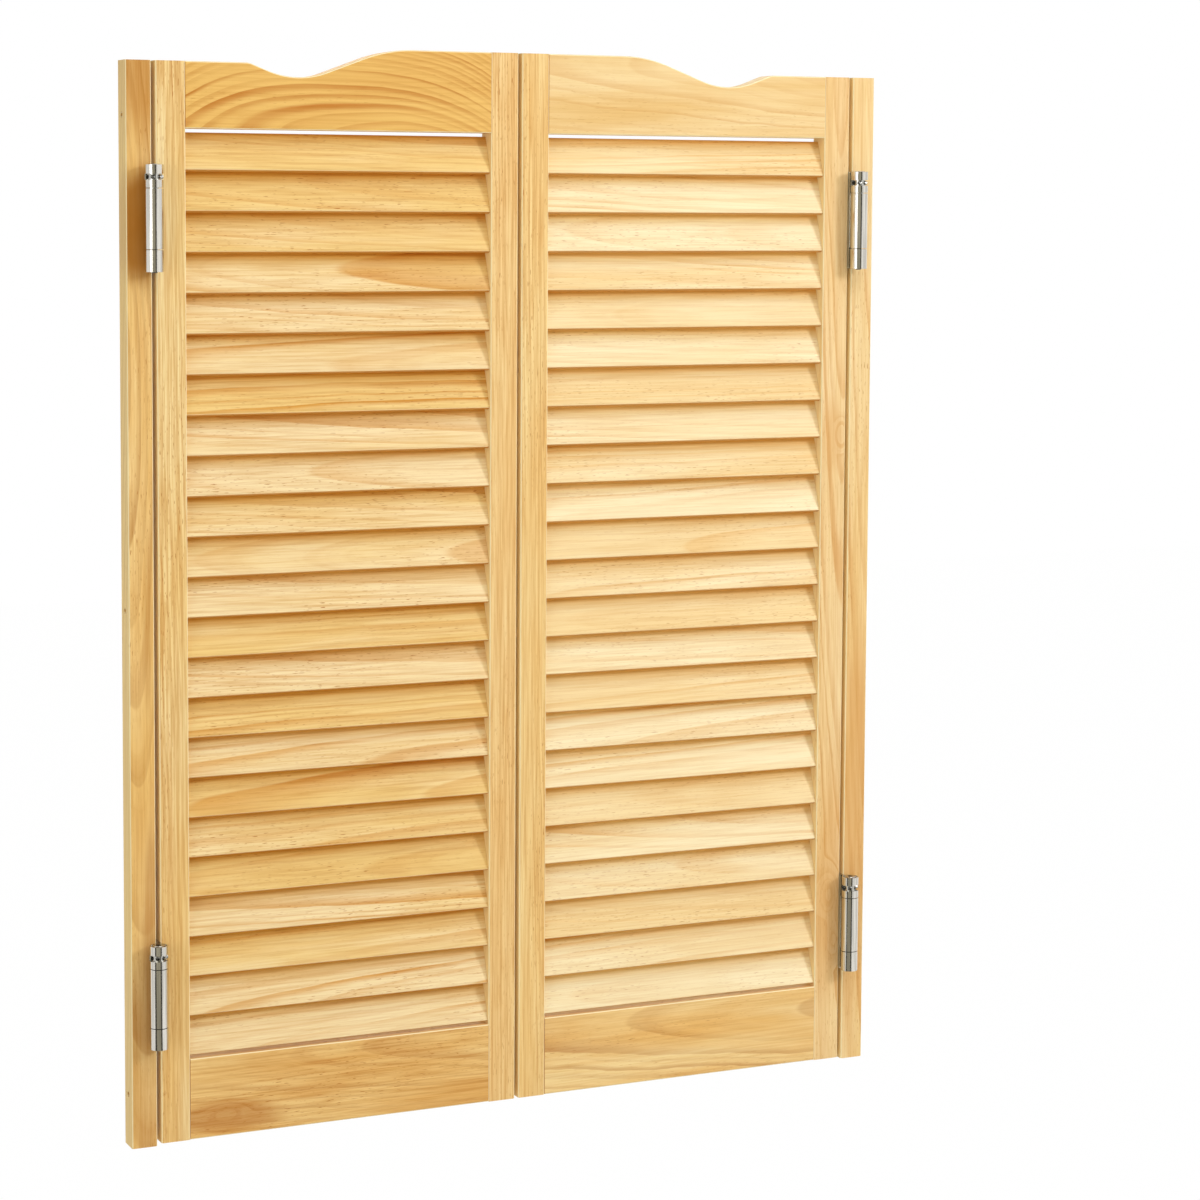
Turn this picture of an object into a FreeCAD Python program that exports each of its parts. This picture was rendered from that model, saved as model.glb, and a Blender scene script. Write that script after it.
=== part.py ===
import FreeCAD, Part
import math
import os

# Pair of louvred cafe swinging doors on double-action spring hinges, with the two
# jamb strips that carry them. Millimetres. The origin is at the bottom centre:
# +X runs across the doors to the right, -Y is the front, +Z is up.

# ---------------------------------------------------------------- doors
DOOR_WIDTH = 375.0          # one door, outer edge to meeting edge
THICKNESS = 25.4            # doors
CENTRE_GAP = 4.0            # between the two meeting edges
OUTER_HEIGHT = 1051.0       # door bottom to the low shoulder at the hinge side
CREST_RISE = 16.0           # meeting edge above that shoulder
STILE_WIDTH = 29.5
TOP_RAIL_HEIGHT = 64.0      # at the shoulder, down to the louvre opening
BOTTOM_RAIL_HEIGHT = 80.7
EDGE_EASE = 1.8             # radius on the long edges of the timber

# scalloped top edge, distances from the door's outer edge
SHOULDER_END = 90.0
SHOULDER_RADIUS = 18.0
DIP_X = 143.0
DIP_DEPTH = 13.0            # lowest point under the shoulder
DIP_RADIUS = 85.0
CREST_START = 262.0
CREST_RADIUS = 144.0

# louvre slats
SLAT_COUNT = 23
SLAT_THICKNESS = 6.5
SLAT_TILT = 20.0            # degrees from upright, lower edge to the front
SLAT_LAP = 2.1              # height by which a slat reaches behind the one above
SLAT_EASE = 1.3
SLAT_HOUSING = 6.0          # depth of the slots in the stiles
SLAT_FIT = 0.15             # clearance round a slat in its slot
FIRST_SLAT_DROP = 39.0      # opening top to the first slat's lower front edge
TOP_SLIT = 3.0              # open slit over the first, narrower slat
BOTTOM_SLIT = 3.8           # last slat's lower front edge above the bottom rail

# dowels between rails and stiles
DOWEL_RADIUS = 4.0
DOWEL_LENGTH = 40.0
DOWEL_INSET = 18.0          # from a rail's upper and lower edge
DOWEL_FIT = 0.05
DOWEL_END_ROOM = 0.5

# ---------------------------------------------------------------- jamb strips
JAMB_WIDTH = 25.4
JAMB_THICKNESS = 25.4
DOOR_LIFT = 2.0             # door bottom above the strips' lower ends
WALL_HOLE_RADIUS = 2.75
WALL_HOLE_COUNT = 3
WALL_HOLE_END = 51.5        # first and last hole from the strip's ends
WALL_SINK_RADIUS = 5.25

# ---------------------------------------------------------------- hinges
HINGE_HEIGHT = 101.6
HINGE_END_DISTANCE = 149.5  # hinge centre from the door's bottom and shoulder
LEAF_THICKNESS = 1.2
LEAF_CLEARANCE = 0.3        # between the three plates that share the gap
LEAF_EDGE_GAP = 1.8         # a plate's free edge to the opposite barrel
NOTCH_GAP = 2.5             # a plate's cut-out to the middle tube beside it
BARREL_RADIUS = 8.9
BARREL_WALL = 1.2
BARREL_FACE_GAP = 3.9       # barrel to the face of the door
BARREL_OFFSET = 3.5         # barrel axes towards the jamb from the gap's middle
TOP_KNUCKLE = 21.9
BOTTOM_KNUCKLE = 20.8
KNUCKLE_CLEARANCE = 0.7     # open joint over and under a middle tube
END_FLOOR = 4.0             # closed end of a barrel piece

SPINDLE_RADIUS = 3.0
SPINDLE_FIT = 0.05
SPINDLE_PROUD = 1.0         # riveted end under the bottom knuckle
SPINDLE_HEADROOM = 1.5      # spindle top under the window

WINDOW_DEPTH = 11.6         # window centre under the top of the barrel
WINDOW_HEIGHT = 5.8
WINDOW_HALF_ANGLE = 108.0   # each side of straight outwards
ADJUSTER_FIT = 0.1
ADJUSTER_WAIST_DEPTH = 1.4  # turned down behind the window and at the top
ADJUSTER_TOP_LENGTH = 2.2   # of the turned-down top
ADJUSTER_PROUD = 0.5
ADJUSTER_EASE = 0.6
ADJUSTER_NECK_RADIUS = 4.4
ADJUSTER_NECK = 8.0         # length inside the middle tube
ADJUSTER_BORES = 3          # through bores, so twice as many mouths
HEX_FLATS = 5.0
HEX_DEPTH = 5.0

PIN_RADIUS = 2.0
PIN_LENGTH = 12.8           # inwards from the outside of the barrel
PIN_BORE_RADIUS = 1.1
PIN_SLOT = 0.7
PIN_FIT = 0.1

SPRING_WIRE_RADIUS = 1.2
SPRING_PITCH = 4.4
SPRING_SIDE_GAP = 0.5       # coil to the inside of the tube
SPRING_END_GAP = 0.4

# leaf screws
SCREW_ROWS = (39.6, 13.2, -13.2, -39.6)     # heights from the hinge's centre
SCREW_STAGGER = 5.5
SCREW_HEAD_RADIUS = 3.4
SCREW_HEAD_HEIGHT = 1.7
SCREW_SHANK_RADIUS = 1.75
SCREW_LENGTH = 22.0
SCREW_TIP = 4.0
SCREW_TIP_RADIUS = 0.3
SCREW_FIT = 0.05
CROSS_WIDTH = 1.0
CROSS_LENGTH = 3.6
CROSS_DEPTH = 1.3

# ---------------------------------------------------------------- worked out
HINGE_GAP = 3 * LEAF_THICKNESS + 2 * LEAF_CLEARANCE
HALF_WIDTH = JAMB_WIDTH + HINGE_GAP + DOOR_WIDTH + CENTRE_GAP / 2
JAMB_FACE_X = HALF_WIDTH - JAMB_WIDTH
DOOR_EDGE_X = JAMB_FACE_X - HINGE_GAP
DOOR_BOTTOM = DOOR_LIFT
SHOULDER_TOP = DOOR_BOTTOM + OUTER_HEIGHT
CREST_TOP = SHOULDER_TOP + CREST_RISE
JAMB_LENGTH = SHOULDER_TOP
WALL_HOLE_SPACING = (JAMB_LENGTH - 2 * WALL_HOLE_END) / (WALL_HOLE_COUNT - 1)
OPENING_BOTTOM = DOOR_BOTTOM + BOTTOM_RAIL_HEIGHT
OPENING_TOP = SHOULDER_TOP - TOP_RAIL_HEIGHT
RAIL_END = DOOR_WIDTH - STILE_WIDTH

TILT = math.radians(SLAT_TILT)
SLAT_RUN = OPENING_TOP - OPENING_BOTTOM - FIRST_SLAT_DROP - BOTTOM_SLIT
SLAT_PITCH = SLAT_RUN / (SLAT_COUNT - 1)
SLAT_WIDTH = (SLAT_PITCH + SLAT_LAP) / math.cos(TILT)
TOP_SLAT_WIDTH = (FIRST_SLAT_DROP - TOP_SLIT) / math.cos(TILT)
SLAT_DEPTH = SLAT_WIDTH * math.sin(TILT) + SLAT_THICKNESS * math.cos(TILT)

AXIS_Y = THICKNESS / 2 + BARREL_FACE_GAP + BARREL_RADIUS
AXIS_U = HINGE_GAP / 2 - BARREL_OFFSET
BORE_RADIUS = BARREL_RADIUS - BARREL_WALL
HINGE_TOP = HINGE_HEIGHT / 2
HINGE_BOTTOM = -HINGE_HEIGHT / 2
TOP_JOINT = HINGE_TOP - TOP_KNUCKLE
BOTTOM_JOINT = HINGE_BOTTOM + BOTTOM_KNUCKLE
MIDDLE_TOP = TOP_JOINT - KNUCKLE_CLEARANCE
MIDDLE_BOTTOM = BOTTOM_JOINT + KNUCKLE_CLEARANCE
LEAF_EDGE_Y = AXIS_Y - BARREL_RADIUS - LEAF_EDGE_GAP
NOTCH_EDGE_Y = AXIS_Y - BARREL_RADIUS - NOTCH_GAP
WEB_U = LEAF_THICKNESS + LEAF_CLEARANCE
DOOR_LEAF_U = HINGE_GAP - LEAF_THICKNESS
WINDOW_Z = HINGE_TOP - WINDOW_DEPTH
PIN_ANGLE = WINDOW_HALF_ANGLE - math.degrees(math.asin((PIN_RADIUS + PIN_FIT) / BORE_RADIUS))
HINGE_Z = {
    "upper": SHOULDER_TOP - HINGE_END_DISTANCE,
    "lower": DOOR_BOTTOM + HINGE_END_DISTANCE,
}
SIDES = {"left": -1, "right": 1}

UP = FreeCAD.Vector(0, 0, 1)
ALONG_X = FreeCAD.Vector(1, 0, 0)
ORIGIN = FreeCAD.Vector(0, 0, 0)


def vec(x, y, z):
    return FreeCAD.Vector(x, y, z)


def block(x0, x1, y0, y1, z0, z1):
    """Box between two values on each axis, given in either order."""
    low = vec(min(x0, x1), min(y0, y1), min(z0, z1))
    return Part.makeBox(abs(x1 - x0), abs(y1 - y0), abs(z1 - z0), low)


def upright(radius, z0, z1, x=0.0, y=0.0):
    """Cylinder along Z from z0 to z1."""
    return Part.makeCylinder(radius, z1 - z0, vec(x, y, z0), UP)


def one_solid(shape):
    """The single solid of a finished boolean result."""
    return shape.removeSplitter().Solids[0]


def eased(shape, radius, wanted):
    """Rounds the straight or curved edges that wanted() picks."""
    return shape.makeFillet(radius, [e for e in shape.Edges if wanted(e)])


def runs_along(edge, axis):
    """True for a straight edge parallel to an axis."""
    if not isinstance(edge.Curve, (Part.Line, Part.LineSegment)):
        return False
    ends = [v.Point for v in edge.Vertexes]
    return len(ends) == 2 and (ends[1] - ends[0]).cross(axis).Length < 1e-6


# ---------------------------------------------------------------- timber
def door_x(side, from_edge):
    """X of a point on a door, from its distance to the hinge-side edge."""
    return side * (DOOR_EDGE_X - from_edge)


def slat_front_edge(index):
    """Y and Z of the lower front corner of one slat, counted from the top."""
    y = -SLAT_DEPTH / 2
    return y, OPENING_TOP - FIRST_SLAT_DROP - index * SLAT_PITCH


def slat_prism(width, grow, x0, x1):
    """Slat section leaning back from its lower front corner, or its slot with room round it."""
    prism = block(x0, x1, -grow, SLAT_THICKNESS + grow, -grow, width + grow)
    prism = eased(prism, SLAT_EASE + grow, lambda e: runs_along(e, ALONG_X))
    return prism.rotate(ORIGIN, ALONG_X, -SLAT_TILT)


def slat_at(index, grow, x0, x1):
    """One slat or slot in place; the first slat is narrower, to leave the top slit."""
    width = TOP_SLAT_WIDTH if index == 0 else SLAT_WIDTH
    y, z = slat_front_edge(index)
    prism = slat_prism(width, grow, x0, x1)
    prism.translate(vec(0, y, z))
    return prism


def slats(side):
    """The first slat by itself, and the rest."""
    ends = (
        door_x(side, STILE_WIDTH - SLAT_HOUSING),
        door_x(side, RAIL_END + SLAT_HOUSING),
    )
    made = [slat_at(i, 0.0, *ends) for i in range(SLAT_COUNT)]
    return made[0], Part.Compound(made[1:])


def rail_joints():
    """The four places where a rail meets a stile, as (distance from the edge, dowel heights)."""
    low = (DOOR_BOTTOM + DOWEL_INSET, OPENING_BOTTOM - DOWEL_INSET)
    outer = (OPENING_TOP + DOWEL_INSET, SHOULDER_TOP - DOWEL_INSET)
    inner = (OPENING_TOP + DOWEL_INSET, CREST_TOP - DOWEL_INSET)
    return (
        (STILE_WIDTH, low),
        (RAIL_END, low),
        (STILE_WIDTH, outer),
        (RAIL_END, inner),
    )


def dowels(side, fit=0.0, end_room=0.0):
    """Dowels across the rail joints, or the holes for them."""
    half = DOWEL_LENGTH / 2 + end_room
    made = []
    for joint, heights in rail_joints():
        x = door_x(side, joint) - half
        for z in heights:
            pin = Part.makeCylinder(DOWEL_RADIUS + fit, 2 * half, vec(x, 0, z), ALONG_X)
            made.append(pin)
    return made


def upright_timber(x0, x1, thickness, z0, z1):
    """Square-section post with eased long edges."""
    post = block(x0, x1, -thickness / 2, thickness / 2, z0, z1)
    return eased(post, EDGE_EASE, lambda e: runs_along(e, UP))


def stile(side, inner):
    """Upright of a door, slotted for the slats and bored for the dowels."""
    near, far = (RAIL_END, DOOR_WIDTH) if inner else (0.0, STILE_WIDTH)
    top = CREST_TOP if inner else SHOULDER_TOP
    post = upright_timber(
        door_x(side, near), door_x(side, far), THICKNESS, DOOR_BOTTOM, top
    )
    if inner:
        ends = (door_x(side, near - STILE_WIDTH), door_x(side, near + SLAT_HOUSING))
    else:
        ends = (door_x(side, far - SLAT_HOUSING), door_x(side, far + STILE_WIDTH))
    slots = [slat_at(i, SLAT_FIT, *ends) for i in range(SLAT_COUNT)]
    return post.cut(slots).cut(dowels(side, DOWEL_FIT, DOWEL_END_ROOM))


def arc_point(centre, radius, slope):
    """Point of an arc where its tangent has this slope; a hollow has a negative radius."""
    return (
        centre[0] - radius * math.sin(slope),
        centre[1] + radius * math.cos(slope),
    )


def tangent_slope(first, second, radii, turn):
    """Slope of the straight line between two arcs that curve opposite ways."""
    run = second[0] - first[0]
    rise = second[1] - first[1]
    return math.atan2(rise, run) + turn * math.asin(radii / math.hypot(run, rise))


def scallop(side):
    """Edges of the top rail's upper edge, from the hinge side to the meeting side."""
    shoulder = (SHOULDER_END, SHOULDER_TOP - SHOULDER_RADIUS)
    dip = (DIP_X, SHOULDER_TOP - DIP_DEPTH + DIP_RADIUS)
    crest = (CREST_START, CREST_TOP - CREST_RADIUS)
    fall = tangent_slope(shoulder, dip, SHOULDER_RADIUS + DIP_RADIUS, -1)
    climb = tangent_slope(dip, crest, DIP_RADIUS + CREST_RADIUS, 1)

    def front_point(x, z):
        return vec(door_x(side, x), -THICKNESS / 2, z)

    def arc(centre, radius, slopes):
        middle = (slopes[0] + slopes[1]) / 2
        turns = (slopes[0], middle, slopes[1])
        return [front_point(*arc_point(centre, radius, s)) for s in turns]

    start = front_point(STILE_WIDTH, SHOULDER_TOP)
    end = front_point(RAIL_END, CREST_TOP)
    shoulder_arc = arc(shoulder, SHOULDER_RADIUS, (0.0, fall))
    dip_arc = arc(dip, -DIP_RADIUS, (fall, climb))
    crest_arc = arc(crest, CREST_RADIUS, (climb, 0.0))
    return [
        Part.LineSegment(start, shoulder_arc[0]),
        Part.Arc(*shoulder_arc),
        Part.LineSegment(shoulder_arc[2], dip_arc[0]),
        Part.Arc(*dip_arc),
        Part.LineSegment(dip_arc[2], crest_arc[0]),
        Part.Arc(*crest_arc),
        Part.LineSegment(crest_arc[2], end),
    ]


def top_rail(side):
    """Rail with the scalloped upper edge."""
    curve = scallop(side)
    low_start = vec(door_x(side, STILE_WIDTH), -THICKNESS / 2, OPENING_TOP)
    low_end = vec(door_x(side, RAIL_END), -THICKNESS / 2, OPENING_TOP)
    start, end = curve[0].StartPoint, curve[-1].EndPoint
    edges = [c.toShape() for c in curve]
    edges.append(Part.makeLine(end, low_end))
    edges.append(Part.makeLine(low_end, low_start))
    edges.append(Part.makeLine(low_start, start))
    rail = Part.Face(Part.Wire(edges)).extrude(vec(0, THICKNESS, 0))

    def long_edge(edge):
        box = edge.BoundBox
        flat_to_a_face = box.YLength < EDGE_EASE / 2
        return flat_to_a_face and box.XLength > EDGE_EASE / 2

    rail = eased(rail, EDGE_EASE, long_edge)
    return rail.cut(dowels(side, DOWEL_FIT, DOWEL_END_ROOM))


def bottom_rail(side):
    rail = block(
        door_x(side, STILE_WIDTH),
        door_x(side, RAIL_END),
        -THICKNESS / 2,
        THICKNESS / 2,
        DOOR_BOTTOM,
        OPENING_BOTTOM,
    )
    rail = eased(rail, EDGE_EASE, lambda e: runs_along(e, ALONG_X))
    return rail.cut(dowels(side, DOWEL_FIT, DOWEL_END_ROOM))


def wall_holes(side):
    """Countersunk holes through a jamb strip, driven from the door's side."""
    made = []
    sink_depth = WALL_SINK_RADIUS - WALL_HOLE_RADIUS
    for k in range(WALL_HOLE_COUNT):
        z = WALL_HOLE_END + k * WALL_HOLE_SPACING
        start = vec(side * JAMB_FACE_X, 0, z)
        outwards = vec(side, 0, 0)
        hole = Part.makeCylinder(WALL_HOLE_RADIUS, JAMB_WIDTH, start, outwards)
        sink = Part.makeCone(WALL_SINK_RADIUS, WALL_HOLE_RADIUS, sink_depth, start, outwards)
        made.append(hole.fuse(sink))
    return made


def jamb_strip(side):
    strip = upright_timber(
        side * JAMB_FACE_X, side * HALF_WIDTH, JAMB_THICKNESS, 0.0, JAMB_LENGTH
    )
    return strip.cut(wall_holes(side))


# ---------------------------------------------------------------- hinge, in its own frame
# U runs from the jamb's face to the door's edge, Y to the rear and Z up from the
# hinge's centre. The jamb leaf carries the rear barrel's ends and the door leaf the
# front barrel's ends; the web carries the middle tube of both.
def screw_places(turn):
    """(Y, Z) of a leaf's screws, with the top one away from the leaf's barrel."""
    return [
        (-turn * SCREW_STAGGER * (-1) ** k, z) for k, z in enumerate(SCREW_ROWS)
    ]


def screw_profile(fit):
    """Countersunk screw, or its hole, head flush at the origin and pointing along +U."""
    head = SCREW_HEAD_RADIUS + fit
    shank = SCREW_SHANK_RADIUS + fit
    end = SCREW_LENGTH + fit
    points = [
        vec(0, 0, 0),
        vec(0, head, 0),
        vec(SCREW_HEAD_HEIGHT, shank, 0),
        vec(end - SCREW_TIP, shank, 0),
        vec(end, SCREW_TIP_RADIUS, 0),
        vec(end, 0, 0),
        vec(0, 0, 0),
    ]
    return Part.Face(Part.makePolygon(points)).revolve(ORIGIN, ALONG_X, 360)


def screw():
    """Countersunk screw with a cross recess."""
    half = CROSS_LENGTH / 2
    wide = CROSS_WIDTH / 2
    cross = block(-1, CROSS_DEPTH, -half, half, -wide, wide)
    cross = cross.fuse(block(-1, CROSS_DEPTH, -wide, wide, -half, half))
    return one_solid(screw_profile(0.0).cut(cross))


def leaf_screws(face_u, turn, into, fit=None):
    """A leaf's screws, or their holes, from the leaf's open face into the timber."""
    made = []
    for y, z in screw_places(turn):
        piece = screw() if fit is None else screw_profile(fit)
        if into < 0:
            piece.rotate(ORIGIN, UP, 180)
        piece.translate(vec(face_u, y, z))
        made.append(piece)
    return made


def knuckles(turn):
    """The two end pieces of a barrel: an open one with the window, and a closed one."""
    top = upright(BARREL_RADIUS, TOP_JOINT, HINGE_TOP)
    top = top.cut(upright(BORE_RADIUS, TOP_JOINT, HINGE_TOP))
    window = Part.makeCylinder(
        BARREL_RADIUS + BARREL_WALL,
        WINDOW_HEIGHT,
        vec(0, 0, WINDOW_Z - WINDOW_HEIGHT / 2),
        UP,
        2 * WINDOW_HALF_ANGLE,
    )
    window.rotate(ORIGIN, UP, 90 * turn - WINDOW_HALF_ANGLE)
    top = top.cut(window)
    bottom = upright(BARREL_RADIUS, HINGE_BOTTOM, BOTTOM_JOINT)
    bottom = bottom.cut(upright(BORE_RADIUS, HINGE_BOTTOM + END_FLOOR, BOTTOM_JOINT))
    hole = upright(SPINDLE_RADIUS + SPINDLE_FIT, HINGE_BOTTOM, HINGE_TOP)
    return [top, bottom.cut(hole)]


def leaf(face_u, turn):
    """Plate screwed to the timber, with the ends of the rear (turn 1) or front (-1) barrel."""
    plate = block(
        face_u,
        face_u + LEAF_THICKNESS,
        -turn * LEAF_EDGE_Y,
        turn * AXIS_Y,
        HINGE_BOTTOM,
        HINGE_TOP,
    )
    notch = block(
        face_u - LEAF_THICKNESS,
        face_u + 2 * LEAF_THICKNESS,
        turn * NOTCH_EDGE_Y,
        turn * (AXIS_Y + BARREL_RADIUS),
        BOTTOM_JOINT,
        TOP_JOINT,
    )
    inside = upright(
        BORE_RADIUS + BARREL_WALL / 2, HINGE_BOTTOM, HINGE_TOP, AXIS_U, turn * AXIS_Y
    )
    shape = plate.cut([notch, inside])
    for knuckle in knuckles(turn):
        knuckle.translate(vec(AXIS_U, turn * AXIS_Y, 0))
        shape = shape.fuse(knuckle)
    return shape.removeSplitter()


def jamb_leaf():
    holes = leaf_screws(LEAF_THICKNESS, 1, -1, SCREW_FIT)
    return one_solid(leaf(0.0, 1).cut(holes))


def door_leaf():
    holes = leaf_screws(DOOR_LEAF_U, -1, 1, SCREW_FIT)
    return one_solid(leaf(DOOR_LEAF_U, -1).cut(holes))


def web():
    """Double plate between the barrels that carries both middle tubes."""
    plate = block(
        WEB_U,
        WEB_U + LEAF_THICKNESS,
        -LEAF_EDGE_Y,
        LEAF_EDGE_Y,
        HINGE_BOTTOM,
        HINGE_TOP,
    )
    bridge = block(
        WEB_U, WEB_U + LEAF_THICKNESS, -AXIS_Y, AXIS_Y, MIDDLE_BOTTOM, MIDDLE_TOP
    )
    shape = plate.fuse(bridge)
    floor_top = MIDDLE_BOTTOM + END_FLOOR
    for turn in (1, -1):
        place = (AXIS_U, turn * AXIS_Y)
        inside = upright(BORE_RADIUS + BARREL_WALL / 2, MIDDLE_BOTTOM, MIDDLE_TOP, *place)
        shape = shape.cut(inside)
    for turn in (1, -1):
        place = (AXIS_U, turn * AXIS_Y)
        tube = upright(BARREL_RADIUS, MIDDLE_BOTTOM, MIDDLE_TOP, *place)
        tube = tube.cut(upright(BORE_RADIUS, floor_top, MIDDLE_TOP, *place))
        boss = upright(ADJUSTER_NECK_RADIUS, floor_top, floor_top + ADJUSTER_NECK, *place)
        hole = upright(SPINDLE_RADIUS + SPINDLE_FIT, HINGE_BOTTOM, HINGE_TOP, *place)
        shape = shape.fuse(tube.fuse(boss).cut(hole))
    return one_solid(shape)


def spindle(turn):
    """Rod on a barrel's axis, riveted under the bottom knuckle."""
    top = WINDOW_Z - WINDOW_HEIGHT / 2 - SPINDLE_HEADROOM
    rod = upright(SPINDLE_RADIUS, HINGE_BOTTOM - SPINDLE_PROUD, top)
    rod = rod.makeChamfer(SPINDLE_PROUD / 2, [e for e in rod.Edges if e.Closed])
    rod.translate(vec(AXIS_U, turn * AXIS_Y, 0))
    return rod


def adjuster(turn):
    """Collar that winds up the spring: bored crosswise, with a hexagon socket on top."""
    foot = TOP_JOINT + KNUCKLE_CLEARANCE
    head_top = HINGE_TOP + ADJUSTER_PROUD
    collar_radius = BORE_RADIUS - ADJUSTER_FIT
    waist = upright(collar_radius - ADJUSTER_WAIST_DEPTH, foot, head_top)
    rim = [e for e in waist.Edges if e.Closed and e.BoundBox.ZMin > HINGE_TOP]
    waist = waist.makeChamfer(ADJUSTER_EASE, rim)
    window_low = WINDOW_Z - WINDOW_HEIGHT / 2
    window_high = WINDOW_Z + WINDOW_HEIGHT / 2
    lower = upright(collar_radius, foot, window_low)
    upper = upright(collar_radius, window_high, head_top - ADJUSTER_TOP_LENGTH)
    neck = upright(ADJUSTER_NECK_RADIUS, MIDDLE_TOP - ADJUSTER_NECK, foot)
    shape = waist.fuse([lower, upper, neck])
    rod_top = window_low - SPINDLE_HEADROOM + SPINDLE_FIT
    shape = shape.cut(
        upright(SPINDLE_RADIUS + SPINDLE_FIT, MIDDLE_TOP - ADJUSTER_NECK, rod_top)
    )
    for k in range(ADJUSTER_BORES):
        angle = math.radians(90 * turn + PIN_ANGLE + k * 180 / ADJUSTER_BORES)
        along = vec(math.cos(angle), math.sin(angle), 0)
        start = vec(0, 0, WINDOW_Z) - along * BARREL_RADIUS
        shape = shape.cut(
            Part.makeCylinder(PIN_RADIUS + PIN_FIT, 2 * BARREL_RADIUS, start, along)
        )
    corner = HEX_FLATS / math.sqrt(3)
    corners = [
        vec(
            corner * math.cos(math.radians(60 * k)),
            corner * math.sin(math.radians(60 * k)),
            head_top - HEX_DEPTH,
        )
        for k in range(7)
    ]
    socket = Part.Face(Part.makePolygon(corners)).extrude(vec(0, 0, HEX_DEPTH))
    shape = one_solid(shape.cut(socket))
    shape.translate(vec(AXIS_U, turn * AXIS_Y, 0))
    return shape


def tension_pin(turn):
    """Slotted pin in the adjuster's bore, resting on the end of the window."""
    pin = Part.makeCylinder(PIN_RADIUS, PIN_LENGTH, ORIGIN, ALONG_X)
    pin = pin.makeChamfer(PIN_SLOT / 2, [e for e in pin.Edges if e.Closed])
    pin = pin.cut(Part.makeCylinder(PIN_BORE_RADIUS, PIN_LENGTH, ORIGIN, ALONG_X))
    slot = block(0, PIN_LENGTH, -PIN_SLOT / 2, PIN_SLOT / 2, 0, PIN_RADIUS)
    pin = one_solid(pin.cut(slot))
    pin.translate(vec(BARREL_RADIUS - PIN_LENGTH, 0, WINDOW_Z))
    pin.rotate(ORIGIN, UP, 90 * turn + PIN_ANGLE)
    pin.translate(vec(AXIS_U, turn * AXIS_Y, 0))
    return pin


def spring(turn):
    """Torsion spring inside a middle tube, between its floor and the adjuster."""
    coil_radius = BORE_RADIUS - SPRING_SIDE_GAP - SPRING_WIRE_RADIUS
    start = MIDDLE_BOTTOM + END_FLOOR + SPRING_END_GAP + SPRING_WIRE_RADIUS
    end = MIDDLE_TOP - SPRING_END_GAP - SPRING_WIRE_RADIUS
    helix = Part.makeHelix(SPRING_PITCH, end - start, coil_radius)
    circle = Part.Circle(vec(coil_radius, 0, 0), vec(0, 1, 0), SPRING_WIRE_RADIUS)
    section = Part.Wire([circle.toShape()])
    coil = Part.Wire(helix.Edges).makePipeShell([section], True, True)
    coil.translate(vec(AXIS_U, turn * AXIS_Y, start))
    return coil


def placed(shape, side, level):
    """A hinge piece at its height; on the right the whole hinge is turned half round."""
    shape = shape.copy()
    if side > 0:
        shape.rotate(ORIGIN, UP, 180)
    shape.translate(vec(side * JAMB_FACE_X, 0, HINGE_Z[level]))
    return shape


def group(pieces, side, levels):
    """Copies of the same pieces at several heights, as one group of solids."""
    return Part.Compound([placed(p, side, level) for level in levels for p in pieces])


# ---------------------------------------------------------------- nodes
def timber_nodes(name, side):
    first, rest = slats(side)
    jamb_holes = leaf_screws(LEAF_THICKNESS, 1, -1, SCREW_FIT)
    door_holes = leaf_screws(DOOR_LEAF_U, -1, 1, SCREW_FIT)
    strip_cuts = [placed(h, side, level) for level in HINGE_Z for h in jamb_holes]
    stile_cuts = [placed(h, side, level) for level in HINGE_Z for h in door_holes]
    return {
        f"{name}_jamb_strip": jamb_strip(side).cut(strip_cuts),
        f"{name}_outer_stile": stile(side, False).cut(stile_cuts),
        f"{name}_inner_stile": stile(side, True),
        f"{name}_top_rail": top_rail(side),
        f"{name}_bottom_rail": bottom_rail(side),
        f"{name}_top_slat": first,
        f"{name}_slats": rest,
        f"{name}_dowels": Part.Compound(dowels(side)),
    }


def hinge_nodes(name, side, level):
    made = {
        "jamb_leaf": jamb_leaf(),
        "web": web(),
        "door_leaf": door_leaf(),
        "jamb_spindle": spindle(1),
        "door_spindle": spindle(-1),
        "jamb_adjuster": adjuster(1),
        "door_adjuster": adjuster(-1),
        "springs": Part.Compound([spring(1), spring(-1)]),
    }
    return {f"{name}_{level}_{k}": placed(v, side, level) for k, v in made.items()}


def fastener_nodes(name, side):
    jamb_screws = leaf_screws(LEAF_THICKNESS, 1, -1)
    door_screws = leaf_screws(DOOR_LEAF_U, -1, 1)
    return {
        f"{name}_jamb_screws": group(jamb_screws, side, HINGE_Z),
        f"{name}_door_screws": group(door_screws, side, HINGE_Z),
        f"{name}_jamb_tension_pins": group([tension_pin(1)], side, HINGE_Z),
        f"{name}_door_tension_pins": group([tension_pin(-1)], side, HINGE_Z),
    }


os.makedirs("parts", exist_ok=True)
nodes = {}
for side_name, side_sign in SIDES.items():
    nodes.update(timber_nodes(side_name, side_sign))
    for hinge_level in HINGE_Z:
        nodes.update(hinge_nodes(side_name, side_sign, hinge_level))
    nodes.update(fastener_nodes(side_name, side_sign))

for node, shape in nodes.items():
    if not shape.isValid() or any(s.Volume <= 0 for s in shape.Solids):
        raise ValueError(f"{node} is not a sound solid")
    shape.exportStep(f"parts/{node}.step")
    print(node, len(shape.Solids), "solids", round(shape.Volume / 1000, 2), "cm3")
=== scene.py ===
import bpy
import math
from typing import NamedTuple
from mathutils import Matrix, Vector


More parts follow.
